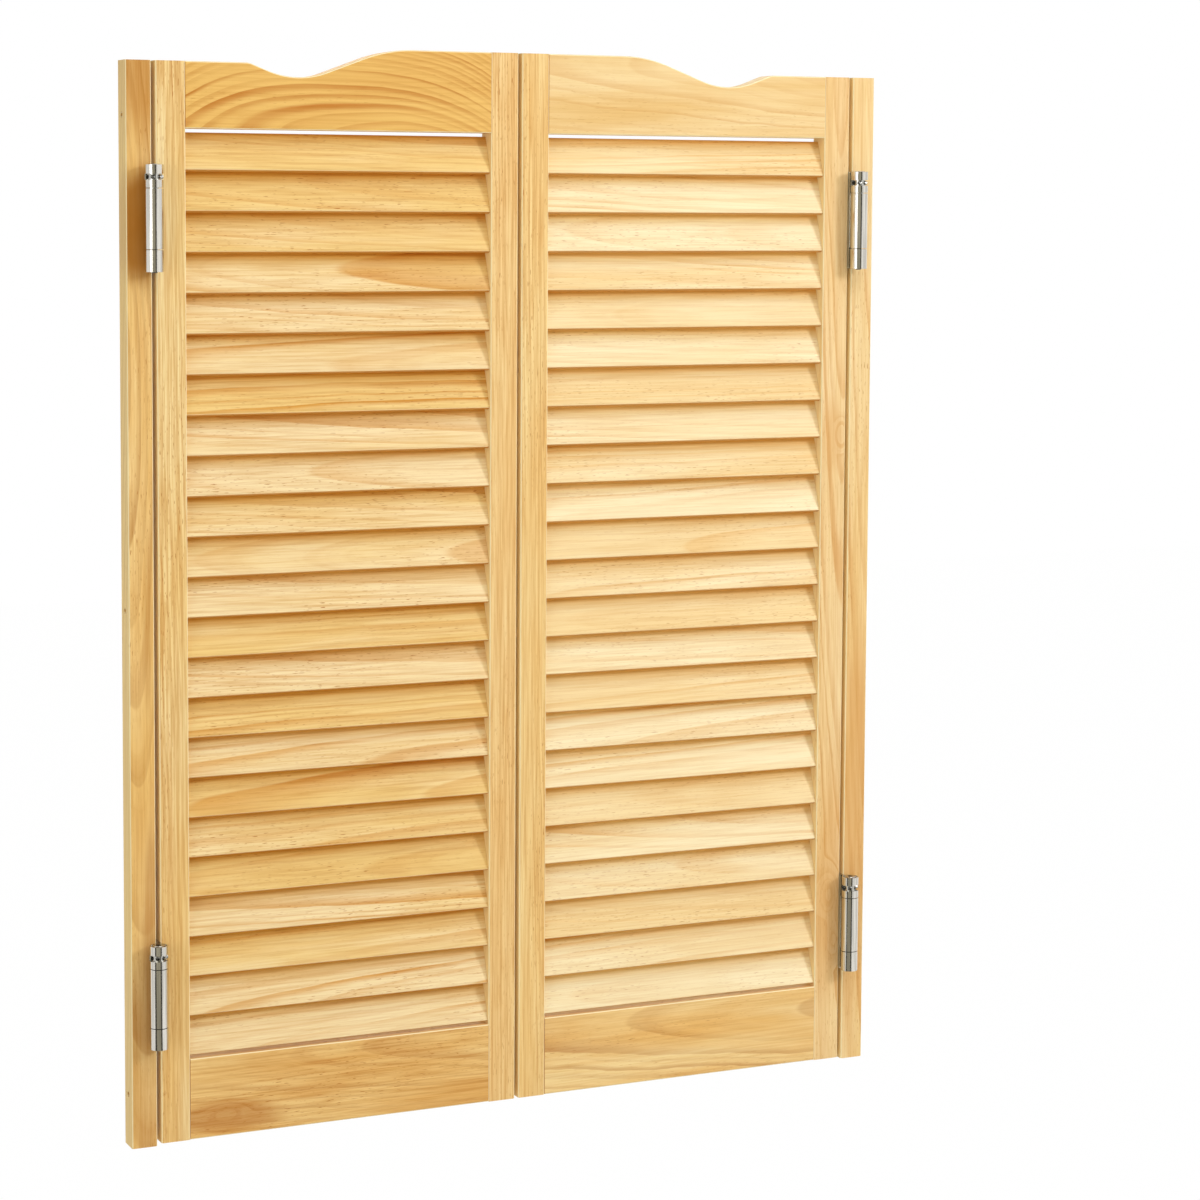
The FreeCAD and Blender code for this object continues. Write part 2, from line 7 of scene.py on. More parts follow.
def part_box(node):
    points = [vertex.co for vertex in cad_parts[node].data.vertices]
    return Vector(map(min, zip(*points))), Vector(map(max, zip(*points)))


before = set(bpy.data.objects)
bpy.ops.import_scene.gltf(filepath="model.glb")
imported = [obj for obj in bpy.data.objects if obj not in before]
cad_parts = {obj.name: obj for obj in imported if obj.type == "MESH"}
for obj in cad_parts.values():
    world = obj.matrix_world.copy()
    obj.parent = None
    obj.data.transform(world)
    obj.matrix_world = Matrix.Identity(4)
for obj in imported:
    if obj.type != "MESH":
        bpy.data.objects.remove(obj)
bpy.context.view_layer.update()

MM = 0.001
SIDES = ("left", "right")
LEVELS = ("upper", "lower")
LEAVES = ("jamb", "door")


# ------------------------------------------------------------------ camera
FRAME_PX = 1200
FOCAL_PX = 3051.5
SENSOR_MM = 36.0
AXIS_PX = (600.0, 456.0)                # where the camera's axis meets the picture
CAMERA_AT = (-1.2149, -2.8357, 0.9257)  # metres
YAW = 0.4330                            # radians to the right
PITCH = 0.0845                          # radians downwards
ROLL = -0.0062                          # radians


def make_camera():
    """Camera at the photograph's viewing angle."""
    ahead = Vector((
        math.sin(YAW) * math.cos(PITCH),
        math.cos(YAW) * math.cos(PITCH),
        -math.sin(PITCH),
    ))
    right = Vector((math.cos(YAW), -math.sin(YAW), 0.0))
    down = ahead.cross(right)
    rolled_right = right * math.cos(ROLL) + down * math.sin(ROLL)
    rolled_down = down * math.cos(ROLL) - right * math.sin(ROLL)
    turn = Matrix((rolled_right, -rolled_down, -ahead)).transposed()
    data = bpy.data.cameras.new("camera")
    data.sensor_width = SENSOR_MM
    data.lens = SENSOR_MM * FOCAL_PX / FRAME_PX
    data.shift_x = (FRAME_PX / 2 - AXIS_PX[0]) / FRAME_PX
    data.shift_y = (AXIS_PX[1] - FRAME_PX / 2) / FRAME_PX
    camera = bpy.data.objects.new("camera", data)
    camera.matrix_world = Matrix.Translation(CAMERA_AT) @ turn.to_4x4()
    bpy.context.scene.collection.objects.link(camera)
    bpy.context.scene.camera = camera


# ------------------------------------------------------------------ node helpers
WHITE = (1.0, 1.0, 1.0, 1.0)
FULL_NOISE = (0.2, 0.8)                 # what a noise runs between, nearly always


class Noise(NamedTuple):
    """A kind of noise, by how many waves go to each unit of the three coordinates."""
    waves: tuple
    detail: float
    roughness: float


def linear(rgb):
    """Linear RGBA from 0-255 sRGB numbers."""
    out = []
    for value in rgb:
        share = value / 255
        out.append(share / 12.92 if share <= 0.04045 else ((share + 0.055) / 1.055) ** 2.4)
    return (*out, 1.0)


class Graph:
    """Short calls for building one node tree."""

    def __init__(self, tree):
        self.tree = tree
        tree.nodes.clear()

    def node(self, kind, inputs=(), **settings):
        made = self.tree.nodes.new(kind)
        for key, value in settings.items():
            setattr(made, key, value)
        for key, value in dict(inputs).items():
            self.feed(made.inputs[key], value)
        return made

    def feed(self, socket, value):
        if isinstance(value, bpy.types.NodeSocket):
            self.tree.links.new(value, socket)
        else:
            socket.default_value = value

    def math(self, operation, a, b=0.0):
        return self.node("ShaderNodeMath", {0: a, 1: b}, operation=operation).outputs[0]

    def add(self, first, *rest):
        for value in rest:
            first = self.math("ADD", first, value)
        return first

    def times(self, first, *rest):
        for value in rest:
            first = self.math("MULTIPLY", first, value)
        return first

    def vector(self, operation, a, b=(0.0, 0.0, 0.0)):
        made = self.node("ShaderNodeVectorMath", {0: a, 1: b}, operation=operation)
        return made.outputs["Value" if operation in ("DOT_PRODUCT", "LENGTH") else "Vector"]

    def split(self, value):
        return tuple(self.node("ShaderNodeSeparateXYZ", {0: value}).outputs)

    def join(self, x, y, z):
        return self.node("ShaderNodeCombineXYZ", {0: x, 1: y, 2: z}).outputs[0]

    def coordinate(self, kind):
        return self.node("ShaderNodeTexCoord").outputs[kind]

    def noise(self, at, kind):
        """Noise from 0 to 1."""
        inputs = {
            "Vector": self.vector("MULTIPLY", at, kind.waves),
            "Scale": 1.0,
            "Detail": kind.detail,
            "Roughness": kind.roughness,
        }
        return self.node("ShaderNodeTexNoise", inputs).outputs["Fac"]

    def dice(self, number):
        """Random value and colour that stay the same for one number."""
        inputs = {"W": number}
        return self.node("ShaderNodeTexWhiteNoise", inputs, noise_dimensions="1D").outputs

    def swing(self, value, reach):
        """A number from 0 to 1 turned into one from -reach to reach."""
        return self.times(self.math("SUBTRACT", value, 0.5), 2 * reach)

    def spread(self, value, low, high, to_low=0.0, to_high=1.0):
        """Smooth step from to_low to to_high while the value goes from low to high."""
        inputs = {0: value, 1: low, 2: high, 3: to_low, 4: to_high}
        made = self.node("ShaderNodeMapRange", inputs)
        made.interpolation_type = "SMOOTHSTEP"
        return made.outputs[0]

    def ramp(self, value, stops):
        made = self.node("ShaderNodeValToRGB", {0: value})
        marks = made.color_ramp.elements
        while len(marks) < len(stops):
            marks.new(0.5)
        for mark, (place, colour) in zip(marks, stops):
            mark.position = place
            mark.color = colour
        return made.outputs[0]

    def mix(self, share, a, b, blend="MIX"):
        made = self.node("ShaderNodeMix", data_type="RGBA", blend_type=blend)
        self.feed(made.inputs[0], share)
        self.feed(made.inputs[6], a)
        self.feed(made.inputs[7], b)
        return made.outputs[2]


def surface(name):
    """New material with a graph and its Principled shader."""
    material = bpy.data.materials.new(name)
    material.use_nodes = True
    graph = Graph(material.node_tree)
    shader = graph.node("ShaderNodeBsdfPrincipled")
    graph.node("ShaderNodeOutputMaterial", {"Surface": shader.outputs[0]})
    return material, graph, shader


def roughen(graph, shader, height, depth, strength):
    """Bump of this depth in metres; it changes no shape."""
    inputs = {"Height": height, "Distance": depth, "Strength": strength}
    bump = graph.node("ShaderNodeBump", inputs)
    graph.feed(shader.inputs["Normal"], bump.outputs[0])


def dress(node, material):
    """Gives a CAD node's object this material in every slot."""
    piece = bpy.data.objects[node]
    if not piece.material_slots:
        piece.data.materials.append(material)
    for slot in piece.material_slots:
        slot.material = material


# ------------------------------------------------------------------ pine: the boards
AMBER = (212, 148, 70)                  # late wood
RUST = (182, 112, 42)                   # darker late wood
SAWN = (220, 152, 76)                   # cut ends


class Knot(NamedTuple):
    """A knot that the rings run round, in millimetres from the board's middle."""
    along: float
    across: float
    size: float


class StainOrShadow(NamedTuple):
    """A darker patch, in millimetres from the board's middle: most are marks of the wood, some
    are painted shadow.
    """
    along: float
    across: float
    half_length: float
    half_width: float
    strength: float


class Board(NamedTuple):
    """How a board was sawn from its log, in millimetres, and its sRGB tones."""
    along: str              # axis of the grain
    ring: float             # width of a growth ring
    pith: tuple             # rings' centre: across from the middle, back from the front
    drift: tuple            # how far that centre moves for each metre of board
    contrast: float         # strength of the late wood
    fibre: float            # strength of the fine lines
    pale: tuple             # early wood
    warm: tuple             # the same where it is darker
    late: tuple             # late wood, darker patches and painted shadows
    sawn: tuple = SAWN      # cut ends, and a slat's lower edge, where it is painted shade
    pooled: tuple = ()      # painted shade: multiplies a slat's upper half, under the slat above
    knots: tuple = ()
    stains: tuple = ()
    bow: float = 0.0        # how far the rings fall away at BOW_AT from the middle
    wander: float = 1.0     # how much the rings wave
    early: float = 0.40     # share of a ring before its late wood begins


BOARDS = {
    "left_jamb_strip": Board(
        along="Z", ring=9.0, pith=(-9.0, 22.0), drift=(30.0, 90.0), contrast=0.60, fibre=0.40,
        pale=(245, 216, 162), warm=(233, 190, 118), late=(180, 116, 42),
        # the patches at 392 and 352 are painted shadow of the upper hinge; the others are the
        # wood's own marks
        stains=(StainOrShadow(505.0, 4.0, 85.0, 30.0, 0.60), StainOrShadow(392.0, -4.0, 50.0, 30.0, 0.92),
                StainOrShadow(352.0, -4.0, 50.0, 30.0, 0.92), StainOrShadow(-20.0, 6.0, 130.0, 7.0, 0.35),
                StainOrShadow(-300.0, 8.0, 130.0, 9.0, 0.45), StainOrShadow(-440.0, -2.0, 150.0, 30.0, 0.30))),
    "left_outer_stile": Board(
        along="Z", ring=3.6, pith=(60.0, 40.0), drift=(14.0, 20.0), contrast=0.55, fibre=0.65,
        pale=(248, 229, 184), warm=(240, 206, 142), late=AMBER,
        stains=(StainOrShadow(-380.0, 0.0, 300.0, 40.0, 0.15),)),
    "left_inner_stile": Board(
        along="Z", ring=3.4, pith=(-70.0, 30.0), drift=(8.0, 8.0), contrast=0.85, fibre=0.55,
        pale=(246, 218, 167), warm=(239, 201, 143), late=AMBER, wander=0.7, early=0.66),
    "left_top_rail": Board(
        along="X", ring=5.6, pith=(-50.0, 45.0), drift=(110.0, 120.0), contrast=1.0, fibre=0.25,
        pale=(238, 198, 122), warm=(231, 186, 110), late=(192, 116, 38), bow=24.0, early=0.15),
    "left_bottom_rail": Board(
        along="X", ring=7.0, pith=(30.0, 34.0), drift=(40.0, 60.0), contrast=0.35, fibre=0.50,
        pale=(243, 212, 154), warm=(227, 178, 108), late=RUST, wander=2.0,
        knots=(Knot(-120.0, -16.0, 6.0),), stains=(StainOrShadow(-120.0, -22.0, 60.0, 22.0, 0.6),)),
    "left_slats": Board(
        along="X", ring=6.4, pith=(0.0, 56.0), drift=(16.0, 34.0), contrast=0.95, fibre=0.38,
        pale=(245, 225, 187), warm=(237, 205, 140), late=(216, 156, 70), sawn=(206, 138, 54),
        pooled=(246, 217, 156)),
    "right_inner_stile": Board(
        along="Z", ring=3.8, pith=(80.0, 40.0), drift=(8.0, 8.0), contrast=0.85, fibre=0.50,
        pale=(247, 223, 172), warm=(239, 198, 132), late=AMBER, wander=0.7, early=0.66),
    "right_outer_stile": Board(
        along="Z", ring=5.0, pith=(14.0, 30.0), drift=(16.0, 40.0), contrast=0.75, fibre=0.30,
        pale=(246, 221, 180), warm=(238, 203, 148), late=AMBER, wander=1.5,
        knots=(Knot(-345.0, 3.0, 9.0), Knot(-395.0, 9.0, 7.0), Knot(150.0, 10.0, 5.0)),
        stains=(StainOrShadow(-330.0, 0.0, 150.0, 30.0, 0.40), StainOrShadow(145.0, 0.0, 45.0, 14.0, 0.30))),
    "right_jamb_strip": Board(
        along="Z", ring=8.0, pith=(24.0, 34.0), drift=(20.0, 40.0), contrast=0.60, fibre=0.35,
        pale=(248, 227, 186), warm=(239, 203, 144), late=AMBER,
        stains=(StainOrShadow(-250.0, 0.0, 300.0, 26.0, 0.55),)),
    "right_top_rail": Board(
        along="X", ring=8.0, pith=(30.0, 40.0), drift=(20.0, 60.0), contrast=0.35, fibre=0.15,
        pale=(244, 220, 176), warm=(232, 194, 132), late=AMBER, wander=2.0),
    "right_bottom_rail": Board(
        along="X", ring=8.0, pith=(20.0, 34.0), drift=(30.0, 60.0), contrast=0.60, fibre=0.30,
        pale=(248, 225, 176), warm=(234, 187, 116), late=RUST, wander=2.5),
    "right_slats": Board(
        along="X", ring=7.0, pith=(0.0, 56.0), drift=(14.0, 30.0), contrast=0.85, fibre=0.26,
        pale=(249, 235, 204), warm=(242, 216, 168), late=(226, 172, 90), sawn=(206, 138, 54),
        pooled=(254, 232, 186)),
}
DOWEL = Board(
    along="X", ring=1.5, pith=(60.0, 30.0), drift=(0.0, 0.0), contrast=0.3, fibre=0.3,
    pale=(214, 170, 118), warm=(200, 152, 100), late=(170, 118, 70))
DOWEL_SEED = 31.0                       # the boards are seeded from 1 on


# ------------------------------------------------------------------ pine: place in a board
SLAT_TILT = math.radians(20.0)          # lower edge to the front
SLAT_THICKNESS = 6.5 * MM
SLAT_LAP = 2.1 * MM                     # height that two neighbours share
SLATS_PER_DOOR = 23
INTO_SLAT = (0.0, math.cos(SLAT_TILT), -math.sin(SLAT_TILT))
UP_SLAT = (0.0, math.sin(SLAT_TILT), math.cos(SLAT_TILT))

SECOND_THROW = 57.3                     # keeps a slat's two throws of the dice apart
PITH_THROW = (62.0 * MM, 20.0 * MM)     # how far a slat's rings lie off, across and back
CONTRAST_THROW = (0.45, 1.25)           # least and most, as a share of the board's
START_THROW = 7.0                       # metres of noise that the slats are taken from
MIDDLE_SHADE = 0.5
SEED_STEP = 3.7                         # metres of noise between two boards


class Place(NamedTuple):
    """Where a point lies in its board or slat, and what sets that one apart."""
    run: object             # along the grain, from the middle
    across: object          # from the middle of the width
    back: object            # from the front
    pith: tuple             # rings' centre, across and back
    contrast: object        # strength of the late wood
    shade: object           # 0 for a pale one to 1 for a dark one
    at: object              # point in the noise


def board_place(graph, name, board, seed):
    """Place in one whole board."""
    low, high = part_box(name)
    start = ((low[0] + high[0]) / 2, low[1], (low[2] + high[2]) / 2)
    x, y, z = graph.split(graph.vector("SUBTRACT", graph.coordinate("Object"), start))
    run, across = (z, x) if board.along == "Z" else (x, z)
    at = graph.join(graph.add(run, SEED_STEP * seed), across, y)
    pith = (board.pith[0] * MM, board.pith[1] * MM)
    return Place(run, across, y, pith, board.contrast, MIDDLE_SHADE, at)


def slat_place(graph, name, board, seed):
    """Place in one slat of a door; each slat is a cut of its own."""
    low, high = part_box(name)
    first_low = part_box(name.replace("slats", "top_slat"))[0][2]
    pitch = (first_low - low[2]) / (SLATS_PER_DOOR - 1)
    step_back, step_up = pitch * math.sin(SLAT_TILT), pitch * math.cos(SLAT_TILT)
    width = (pitch + SLAT_LAP) / math.cos(SLAT_TILT)
    corner = ((low[0] + high[0]) / 2, low[1], first_low + SLAT_THICKNESS * math.sin(SLAT_TILT))
    point = graph.vector("SUBTRACT", graph.coordinate("Object"), corner)
    run = graph.split(point)[0]
    back = graph.vector("DOT_PRODUCT", point, INTO_SLAT)
    up = graph.vector("DOT_PRODUCT", point, UP_SLAT)
    # planes halfway between two slats tell one from the next
    inside = graph.add(back, (step_back - SLAT_THICKNESS) / 2)
    number = graph.math("FLOOR", graph.math("DIVIDE", inside, step_back))
    up = graph.add(up, graph.times(number, step_up))
    across = graph.math("SUBTRACT", up, width / 2)
    back = graph.math("SUBTRACT", back, graph.times(number, step_back))

    first = graph.split(graph.dice(graph.add(number, seed))["Color"])
    second = graph.split(graph.dice(graph.add(number, seed + SECOND_THROW))["Color"])
    pith = tuple(graph.add(graph.swing(thrown, reach), centre * MM)
                 for thrown, reach, centre in zip(first, PITH_THROW, board.pith))
    contrast = graph.times(graph.spread(second[0], 0.0, 1.0, *CONTRAST_THROW), board.contrast)
    start = graph.add(run, graph.times(second[2], START_THROW), SEED_STEP * seed)
    at = graph.join(start, across, back)
    return Place(run, across, back, pith, contrast, second[1], at)


def distance(graph, place, along, across, stretch):
    """Distance on the face from a spot in millimetres, stretched on the two axes."""
    spot = (along * MM, across * MM, 0.0)
    reach = graph.vector("SUBTRACT", graph.join(place.run, place.across, 0.0), spot)
    return graph.vector("LENGTH", graph.vector("MULTIPLY", reach, (*stretch, 0.0)))


# ------------------------------------------------------------------ pine: growth
# waves to the metre: along the grain, across the board and into it
BENDS = Noise((2.3, 7.0, 7.0), 2.0, 0.45)
RIPPLES = Noise((10.0, 30.0, 22.0), 3.0, 0.55)
PATCHES = Noise((3.0, 22.0, 22.0), 2.0, 0.5)
CLOUDS = Noise((3.2, 26.0, 18.0), 3.0, 0.55)
FIBRES = Noise((9.0, 420.0, 360.0), 2.0, 0.7)
PORES = Noise((110.0, 1100.0, 500.0), 1.0, 0.5)
# the same, but outwards from the pith in the second place, or in the third
FIGURE = Noise((4.0, 300.0, 1.0), 3.0, 0.6)
VEINS = Noise((6.0, 170.0, 60.0), 3.0, 0.6)
# one wave to each step of UNEVEN_SPAN rings
UNEVEN = Noise((1.0, 1.0, 1.0), 2.0, 0.6)

BEND_REACH = 9.0 * MM
RIPPLE_REACH = 2.2 * MM
BOW_AT = 0.15                           # metres from the middle
KNOT_STRETCH = (0.45, 1.0)
KNOT_SPAN = 2.4                         # radius that a knot disturbs, in knot sizes
KNOT_PUSH = 2.2                         # how far it pushes the rings, in knot sizes
UNEVEN_SPAN = 2.4                       # rings over which the ring width changes
UNEVEN_REACH = 3.0                      # how far that can move them, in rings
LATE_PEAK = 0.90                        # share of a ring where its late wood is full
LATE_END = 0.93                         # and where it starts to break off
LATE_BY_RING = (0.0, 1.0, 0.35, 1.0)    # steps: low and high value, and the share at each
LATE_BY_PATCH = (0.30, 0.68, 0.35, 1.0)


def ring_radius(graph, place, board):
    """Distance from the pith, with the bends, ripples and knots of a real log."""
    ring = board.ring * MM
    across = graph.add(graph.math("SUBTRACT", place.across, place.pith[0]),
                       graph.times(place.run, board.drift[0] * MM),
                       graph.swing(graph.noise(place.at, BENDS), BEND_REACH * board.wander),
                       graph.swing(graph.noise(place.at, RIPPLES), RIPPLE_REACH * board.wander))
    if board.bow:
        fall = graph.math("POWER", graph.math("ABSOLUTE", place.run), 3.0)
        across = graph.add(across, graph.times(fall, board.bow * MM / BOW_AT ** 3))
    back = graph.add(graph.math("SUBTRACT", place.back, place.pith[1]),
                     graph.times(place.run, board.drift[1] * MM))
    square = graph.add(graph.times(across, across), graph.times(back, back))
    radius = graph.math("SQRT", square)
    for knot in board.knots:
        off = distance(graph, place, knot.along, knot.across, KNOT_STRETCH)
        near = graph.spread(off, 0.0, KNOT_SPAN * knot.size * MM, 1.0, 0.0)
        radius = graph.add(radius, graph.times(near, KNOT_PUSH * knot.size * MM))
    steps = graph.math("DIVIDE", radius, UNEVEN_SPAN * ring)
    uneven = graph.noise(graph.join(steps, board.ring, board.contrast), UNEVEN)
    return graph.add(radius, graph.times(uneven, UNEVEN_REACH * ring))


def late_wood(graph, board, radius, patchy, seed):
    """Share of late wood: it grows through each ring, and breaks off at the ring's end."""
    turns = graph.math("DIVIDE", radius, board.ring * MM)
    phase = graph.math("FRACT", turns)
    own = graph.dice(graph.add(graph.math("FLOOR", turns), seed))["Value"]
    return graph.times(graph.spread(phase, board.early, LATE_PEAK),
                       graph.spread(phase, 1.0, LATE_END),
                       graph.spread(own, *LATE_BY_RING),
                       graph.spread(patchy, *LATE_BY_PATCH))


# ------------------------------------------------------------------ pine: colour
FIBRE = (220, 182, 118)                 # multiplies the wood along its fine lines
RESIN = (180, 108, 38)                  # pores
PAINTED_SHADOW_UNDER_SLAT = (251, 234, 210)                # painted shadow: multiplies a slat close under the slat above
PAINTED_SIDE_LIGHT = (254, 232, 176)                  # painted light on an upright's sides
RUBBED_AND_HIGHLIT = (254, 243, 210)                # eased edges: worn pale, with a painted highlight
PLAIN_SHADE = 0.2                       # the shade that leaves the tint as it is
SHADE_SHARE = 0.42                      # how much a slat's own shade counts
CLOUD_SHARE = 0.85
TINT_STEP = (0.32, 0.78)
LINE_STEP = (0.42, 0.66)                # of the noise that makes figure and fibres
FIGURE_STRENGTH = 0.45                  # strengths for each unit of a board's fibre strength
FIBRE_STRENGTH = 0.75
VEIN_STRENGTH = 0.6
VEIN_WIDTH = 0.055                      # to either side of the noise's middle value
VEIN_BY_PATCH = (0.35, 0.60, 0.4, 1.0)
PORE_STRENGTH = 2.2
PORE_LIMIT = 0.90
PORE_STEP = (0.65, 0.72)
PORE_BY_PATCH = (0.42, 0.62, 0.15, 1.0)
STAIN_OR_SHADOW_STEP = (0.35, 1.0)                # shares of a darker patch's half length or width, for marks and painted shadows alike
STAIN_OR_SHADOW_SWING = 0.8

# steps of the end tint, the painted shade and the painted light: two values of how far a face
# looks that way, and the share at each
ENDS = (0.6, 0.95, 0.0, 0.55)
# painted shade on faces that look down, such as a slat's lower edge
PAINTED_UNDERSIDE_SHADE = (-0.45, -0.90, 0.0, 0.85)
# painted light on faces that look sideways, an upright's sides
PAINTED_SIDE_LIGHT_STEP = (0.85, 0.98, 0.0, 0.50)
EASED = (0.97, 0.80)                    # of the axis that a face looks along most
PAINTED_SHADE_FROM = (1.0 * MM, 18.0 * MM)     # heights above a slat's middle, for the painted shade
PAINTED_SHADOW_FROM = (10.0 * MM, 16.5 * MM)
RUBBED_AND_HIGHLIT_SLAT, RUBBED_AND_HIGHLIT_BOARD = 0.45, 0.90
WOOD_ROUGHNESS = (0.42, 0.54)
WOOD_BUMP = (0.05 * MM, 0.5)            # depth and strength
LATE_RELIEF = 0.6                       # height of late wood, where a fibre's is 1
LACQUER = {"Specular IOR Level": 0.14, "Coat Weight": 0.02, "Coat Roughness": 0.30}


def grown_colour(graph, place, board, cloud, late):
    """Clouds of pale and warm early wood, with the late wood over them."""
    own_shade = graph.times(graph.math("SUBTRACT", place.shade, PLAIN_SHADE), SHADE_SHARE)
    tint = graph.add(graph.times(cloud, CLOUD_SHARE), own_shade)
    tint = graph.spread(tint, *TINT_STEP)
    colour = graph.mix(tint, linear(board.pale), linear(board.warm))
    return graph.mix(graph.times(late, place.contrast), colour, linear(board.late))


def fine_lines(graph, place, board, radius, patchy, figure, fibre, colour):
    """Figure, fibres, thin veins, and the short dashes of the pores."""
    vein = graph.noise(graph.join(place.run, place.across, radius), VEINS)
    vein = graph.math("ABSOLUTE", graph.math("SUBTRACT", vein, 0.5))
    vein = graph.times(graph.spread(vein, 0.0, VEIN_WIDTH, VEIN_STRENGTH * board.fibre, 0.0),
                       graph.spread(patchy, *VEIN_BY_PATCH))
    for share in (graph.spread(figure, *LINE_STEP, 0.0, FIGURE_STRENGTH * board.fibre),
                  graph.spread(fibre, *LINE_STEP, 0.0, FIBRE_STRENGTH * board.fibre),
                  vein):
        colour = graph.mix(share, colour, linear(FIBRE), "MULTIPLY")
    strength = min(PORE_LIMIT, PORE_STRENGTH * board.fibre)
    pore = graph.times(graph.spread(graph.noise(place.at, PORES), *PORE_STEP, 0.0, strength),
                       graph.spread(patchy, *PORE_BY_PATCH))
    return graph.mix(pore, colour, linear(RESIN))


def stained_and_shadowed(graph, place, board, cloud, colour):
    """The board's darker patches, with cloudy edges: marks of its own, and painted shadows."""
    for stain_or_shadow in board.stains:
        stretch = (1.0 / (stain_or_shadow.half_length * MM), 1.0 / (stain_or_shadow.half_width * MM))
        off = distance(graph, place, stain_or_shadow.along, stain_or_shadow.across, stretch)
        off = graph.add(off, graph.swing(cloud, STAIN_OR_SHADOW_SWING))
        share = graph.spread(off, *STAIN_OR_SHADOW_STEP, stain_or_shadow.strength, 0.0)
        colour = graph.mix(share, colour, linear(board.late))
    return colour


def facing(graph, slatted):
    """How far a face looks to the right, back through its board or slat, and up it."""
    normal = graph.coordinate("Normal")
    x, y, z = graph.split(normal)
    if slatted:
        y = graph.vector("DOT_PRODUCT", normal, INTO_SLAT)
        z = graph.vector("DOT_PRODUCT", normal, UP_SLAT)
    return x, y, z


def ends_edges_and_painted_light(graph, place, board, slatted, colour):
    """Cut ends darker, and eased edges worn pale with a painted highlight; painted shade on a
    slat's lower edge and upper half, painted shadow close under the slat above, and painted light
    on an upright's sides."""
    looks = facing(graph, slatted)
    sides = [graph.math("ABSOLUTE", value) for value in looks]
    end = sides[2] if board.along == "Z" else sides[0]
    colour = graph.mix(graph.spread(end, *ENDS), colour, linear(board.sawn))
    if slatted:
        # painted shade on a slat's lower edge
        colour = graph.mix(graph.spread(looks[2], *PAINTED_UNDERSIDE_SHADE), colour, linear(board.sawn))
        # painted shade on a slat's upper half, and painted shadow close under the slat above
        for tone, heights in ((board.pooled, PAINTED_SHADE_FROM), (PAINTED_SHADOW_UNDER_SLAT, PAINTED_SHADOW_FROM)):
            share = graph.spread(place.across, *heights)
            colour = graph.mix(share, colour, linear(tone), "MULTIPLY")
    elif board.along == "Z":
        # painted light on an upright's sides
        colour = graph.mix(graph.spread(sides[0], *PAINTED_SIDE_LIGHT_STEP), colour, linear(PAINTED_SIDE_LIGHT))
    flattest = graph.math("MAXIMUM", graph.math("MAXIMUM", sides[0], sides[1]), sides[2])
    # eased edges worn pale, with a painted highlight
    rubbed_and_highlit = graph.times(graph.spread(flattest, *EASED), RUBBED_AND_HIGHLIT_SLAT if slatted else RUBBED_AND_HIGHLIT_BOARD)
    return graph.mix(rubbed_and_highlit, colour, linear(RUBBED_AND_HIGHLIT))


def wood(name, board, seed):
    """Lacquered pine for one board, or for all the slats of a door."""
    material, graph, shader = surface(f"pine_{name}")
    slatted = name.endswith("slats")
    place = (slat_place if slatted else board_place)(graph, name, board, seed)
    radius = ring_radius(graph, place, board)
    patchy = graph.noise(place.at, PATCHES)
    cloud = graph.noise(place.at, CLOUDS)
    fibre = graph.noise(place.at, FIBRES)
    figure = graph.noise(graph.join(place.run, radius, seed), FIGURE)
    late = late_wood(graph, board, radius, patchy, seed)

    colour = grown_colour(graph, place, board, cloud, late)
    colour = fine_lines(graph, place, board, radius, patchy, figure, fibre, colour)
    colour = stained_and_shadowed(graph, place, board, cloud, colour)
    colour = ends_edges_and_painted_light(graph, place, board, slatted, colour)
    graph.feed(shader.inputs["Base Color"], colour)
    graph.feed(shader.inputs["Roughness"], graph.spread(figure, *FULL_NOISE, *WOOD_ROUGHNESS))
    for socket, value in LACQUER.items():
        shader.inputs[socket].default_value = value
    roughen(graph, shader, graph.add(graph.times(late, LATE_RELIEF), fibre), *WOOD_BUMP)
    return material


def dress_timber():
    """Every board has its own cut of pine; the top slat is cut like the others."""
    for seed, (name, board) in enumerate(BOARDS.items(), start=1):
        made = wood(name, board, float(seed))
        dress(name, made)
        if name.endswith("slats"):
            dress(name.replace("slats", "top_slat"), made)


def dress_dowels():
    """Turned hardwood, plain and fine."""
    for count, side in enumerate(SIDES):
        dowels = f"{side}_dowels"
        dress(dowels, wood(dowels, DOWEL, DOWEL_SEED + count))


# ------------------------------------------------------------------ metal
BRUSHED = (2600.0, 40.0)                # waves to the metre: across the streaks, along them
CLOUDED = (260.0, 12.0)
SPECKLED = Noise((900.0, 900.0, 900.0), 1.0, 0.5)
SPECK = (90, 86, 78)
SPECK_STEP = (0.66, 0.74)
SPECK_STRENGTH = 0.10
DULL_STEP = (0.3, 0.7)
DULL_SHARE = 0.86                       # of the metal's own tone
POLISH = (-0.05, 0.08)                  # how far the roughness goes either way
METAL_BUMP = (0.01 * MM, 0.25)          # depth and strength


def streaks(waves, axis):
    """Waves on the three axes for streaks along one of them."""
    across, along = waves
    return tuple(along if own == axis else across for own in "XYZ")


